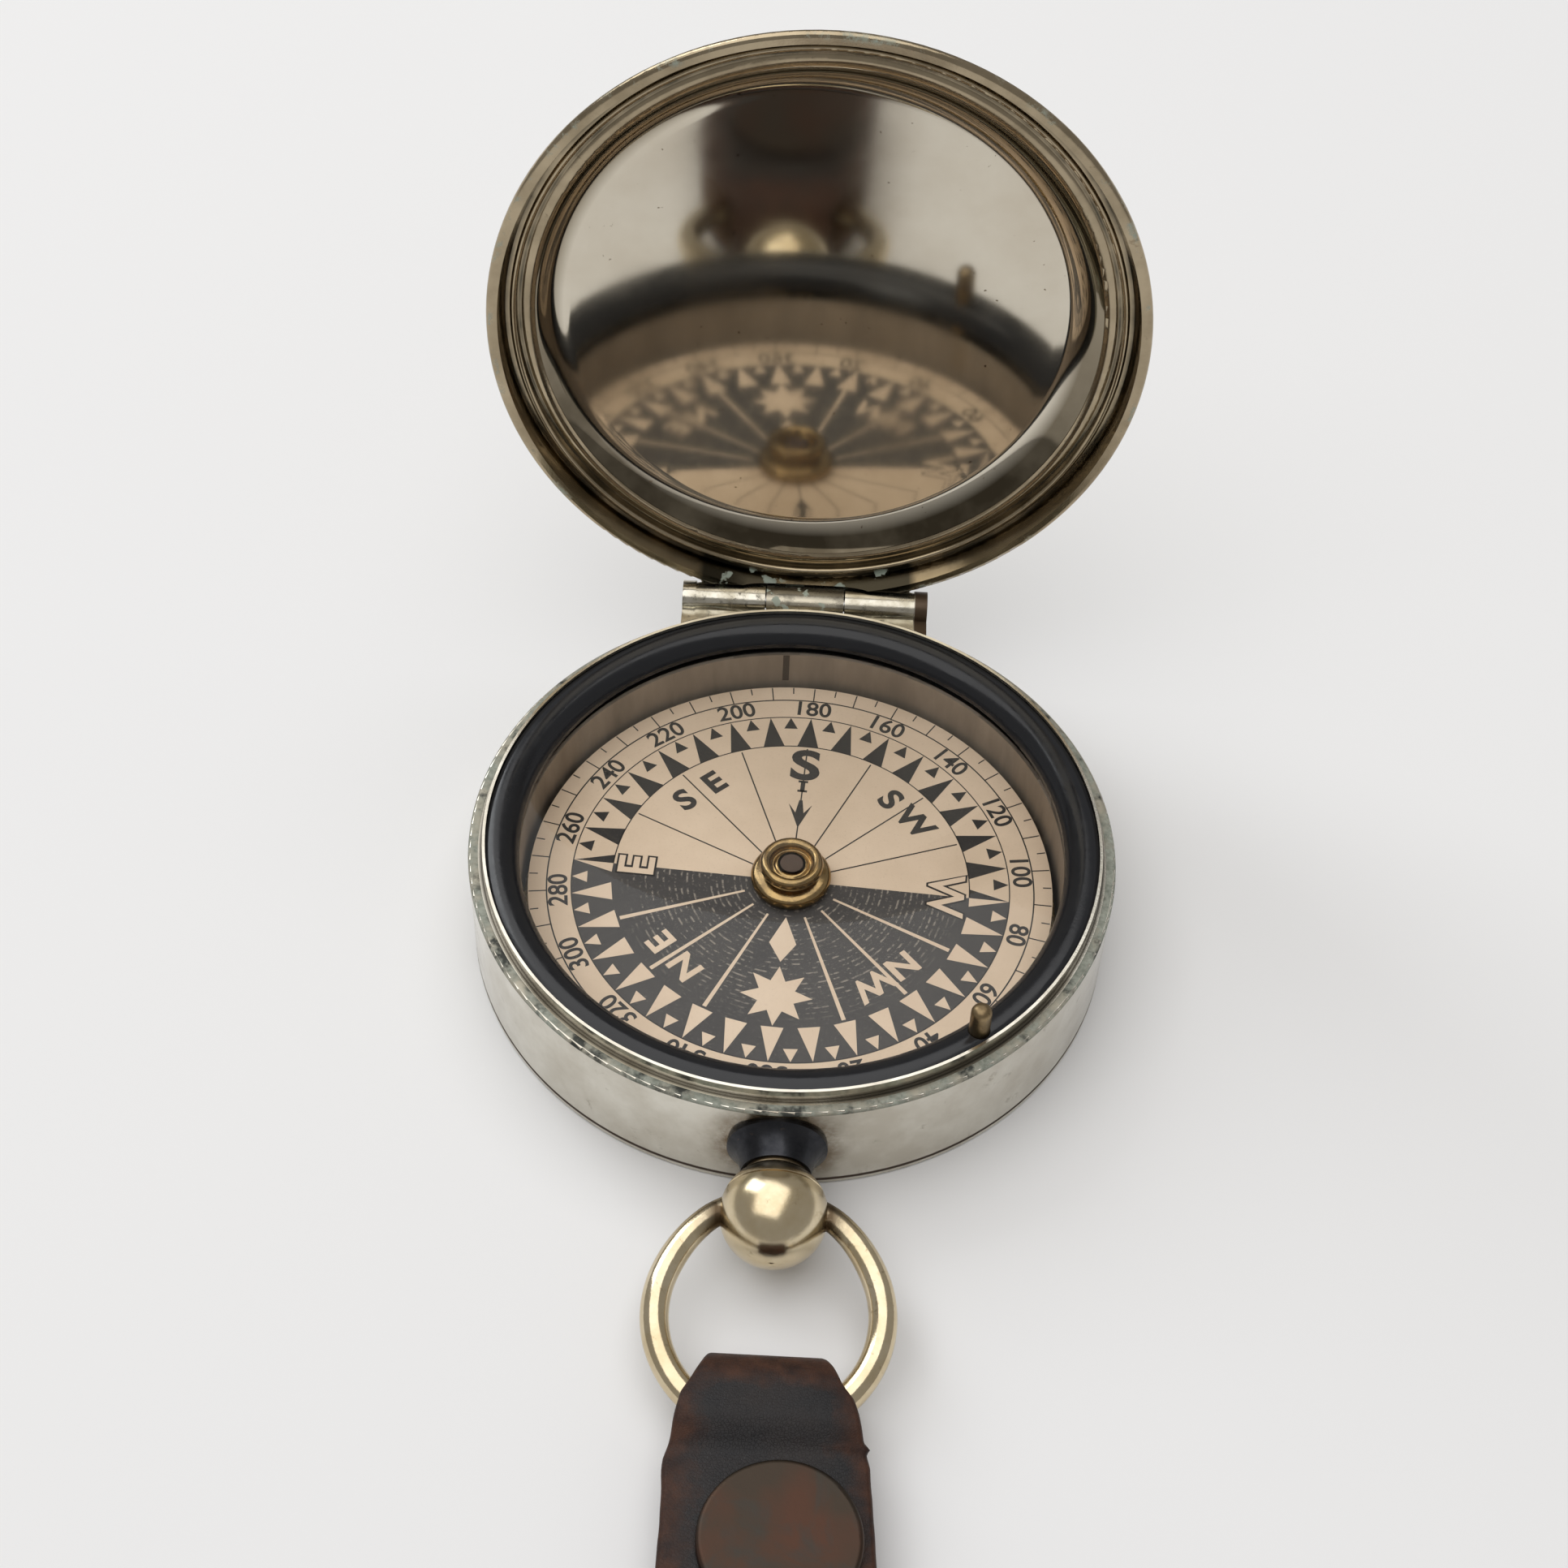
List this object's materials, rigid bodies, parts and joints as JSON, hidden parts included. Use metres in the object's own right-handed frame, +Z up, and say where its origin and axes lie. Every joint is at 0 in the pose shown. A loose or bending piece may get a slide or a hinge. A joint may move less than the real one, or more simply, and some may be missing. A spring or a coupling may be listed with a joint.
{
  "type": "pocket compass",
  "caption": "Round pocket compass with a hinged mirror-bright lid, floating card, lid-worked card lock, ball pendant, wire bow and snapped leather strap.",
  "frame": {"origin": "centre of the case's bottom face", "axes": "+Z up through the card's pivot, +X along the lid hinge, +Y from the pendant to the hinge"},
  "size_m": [0.0462, 0.1429, 0.0544],
  "materials": {
    "nickel_brass": "pale nickel over brass, satin, tarnished and stained",
    "mirror_nickel": "polished nickel, cloudy with age",
    "black_enamel": "glossy black enamel, worn at the edges",
    "clear_glass": "clear flat glass",
    "buff_lining": "matt buff lining, darkened",
    "card_print": "matt printed card, half buff and half charcoal",
    "card_sheet": "plain thin sheet",
    "aged_brass": "turned brass, aged",
    "blackened_brass": "brass turned nearly black",
    "hard_steel": "hardened steel, plain",
    "dark_jewel": "polished dark stone",
    "strap_leather": "dark brown leather, blackened and shiny with wear",
    "copper_stud": "copper brown, mottled, worn bright at the rim"
  },
  "bodies": {
    "case": {"case_body": "nickel_brass", "case_back": "nickel_brass", "bezel_ring": "black_enamel", "cover_glass": "clear_glass", "liner_ring": "buff_lining", "base_plate": "aged_brass", "pivot_post": "aged_brass", "pivot_needle": "hard_steel", "plunger_bush": "aged_brass", "lever_bracket": "aged_brass", "fulcrum_pin": "hard_steel", "bracket_screws": "hard_steel", "lever_spring": "hard_steel", "hinge_block": "nickel_brass", "hinge_pin": "hard_steel", "pendant_collar": "blackened_brass", "pendant_ball": "aged_brass", "pendant_nut": "aged_brass"},
    "lid": {"lid_rim": "nickel_brass", "lid_dome": "mirror_nickel", "lid_leaf": "nickel_brass"},
    "plunger": {"lock_plunger": "aged_brass"},
    "lever": {"lock_lever": "aged_brass"},
    "lifter": {"lift_collar": "aged_brass"},
    "card": {"card_face": "card_print", "card_disc": "card_sheet", "magnet_left": "hard_steel", "magnet_right": "hard_steel", "magnet_rivets": "aged_brass", "card_cap": "aged_brass", "cap_jewel": "dark_jewel", "cap_nut": "aged_brass"},
    "bow": {"bow_ring": "aged_brass"},
    "fob": {"strap": "strap_leather", "snap_cap": "copper_stud", "snap_socket": "copper_stud", "snap_stud": "copper_stud", "snap_back": "copper_stud"}
  },
  "joints": [
    {"name": "lid_hinge", "type": "hinge", "parent": "case", "child": "lid", "pos_m": [0, 0.0232, 0.00845], "axis": [1, 0, 0], "range_deg": [0, 96.5]},
    {"name": "plunger_slide", "type": "slide", "parent": "case", "child": "plunger", "axis": [0, 0, -1], "range_m": [0, 0.00175]},
    {"name": "lever_tilt", "type": "hinge", "parent": "case", "child": "lever", "pos_m": [0.00409, -0.00505, 0.00181], "axis": [0.7771, 0.6293, 0], "range_deg": [0, 7.25]},
    {"name": "lifter_slide", "type": "slide", "parent": "case", "child": "lifter", "axis": [0, 0, 1], "range_m": [0, 0.0005885]},
    {"name": "card_spin", "type": "hinge", "parent": "lifter", "child": "card", "pos_m": [0, 0, 0.0036], "axis": [0, 0, 1], "continuous": true},
    {"name": "bow_swing", "type": "hinge", "parent": "case", "child": "bow", "pos_m": [0, -0.02755, 0.0045], "axis": [-1, 0, 0], "range_deg": [-80, 90]},
    {"name": "strap_swing", "type": "hinge", "parent": "bow", "child": "fob", "pos_m": [0, -0.04036, 0.0026], "axis": [-1, 0, 0], "range_deg": [-20, 20]}
  ],
  "couplings": [
    {"joint": "plunger_slide", "follows": "lid_hinge", "m_per_rad": 0.001039},
    {"joint": "lever_tilt", "follows": "lid_hinge", "ratio": 0.07512},
    {"joint": "lifter_slide", "follows": "lid_hinge", "m_per_rad": 0.000349}
  ]
}
